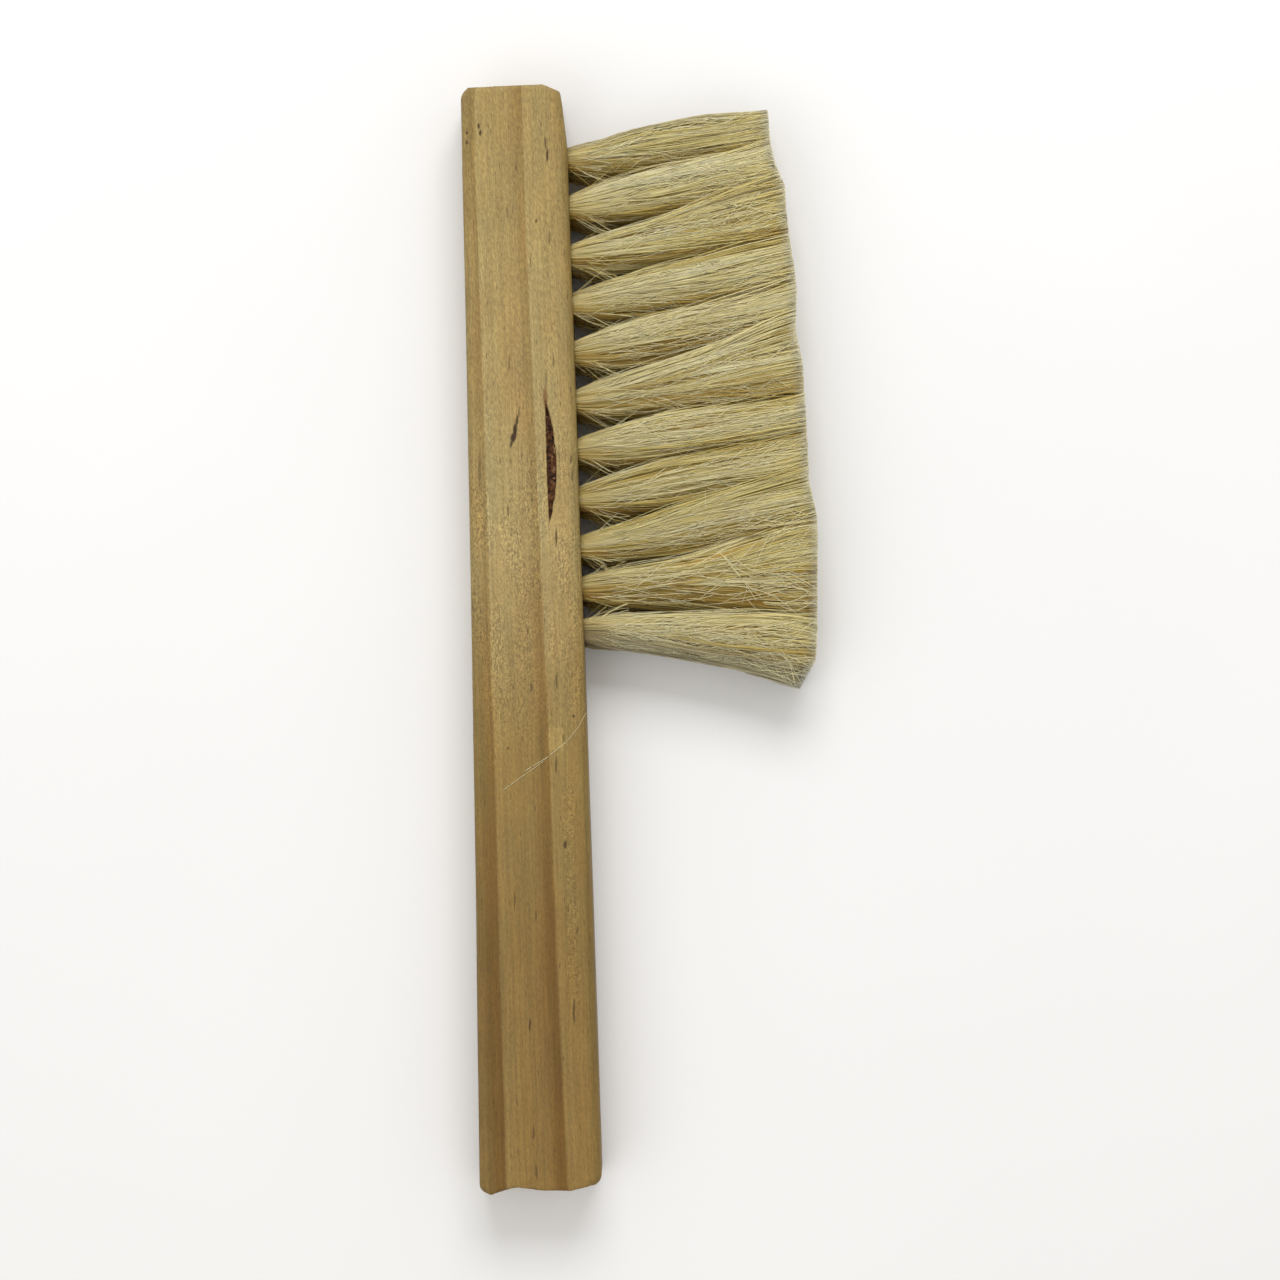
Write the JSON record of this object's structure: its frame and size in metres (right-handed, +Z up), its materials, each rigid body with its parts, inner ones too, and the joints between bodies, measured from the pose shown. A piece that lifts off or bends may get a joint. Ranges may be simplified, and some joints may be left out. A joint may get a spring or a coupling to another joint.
{
  "type": "bee brush",
  "caption": "Beekeeper's brush: a slim tapering wooden bar with long pale hair tufts in two rows along one edge of its upper half and a bare grip below.",
  "frame": {"origin": "on the flat underside of the wooden bar, at mid-length and near the middle of its width", "axes": "+Y along the bar from the grip to the head end, +X the way the bristles point, +Z up, out of the broad upper side; the brush lies on its broad underside"},
  "size_m": [0.1138, 0.3499, 0.022],
  "materials": {
    "wood": "bare, sanded, no varnish",
    "bristle": "natural hair, satin",
    "wire": "plain drawn wire"
  },
  "bodies": {
    "root": {"handle": "wood", "tuft_upper_01": "bristle", "tuft_upper_02": "bristle", "tuft_upper_03": "bristle", "tuft_upper_04": "bristle", "tuft_upper_05": "bristle", "tuft_upper_06": "bristle", "tuft_upper_07": "bristle", "tuft_upper_08": "bristle", "tuft_upper_09": "bristle", "tuft_upper_10": "bristle", "tuft_upper_11": "bristle", "tuft_lower_01": "bristle", "tuft_lower_02": "bristle", "tuft_lower_03": "bristle", "tuft_lower_04": "bristle", "tuft_lower_05": "bristle", "tuft_lower_06": "bristle", "tuft_lower_07": "bristle", "tuft_lower_08": "bristle", "tuft_lower_09": "bristle", "tuft_lower_10": "bristle", "tuft_lower_11": "bristle", "anchor_staples": "wire"}
  },
  "joints": []
}
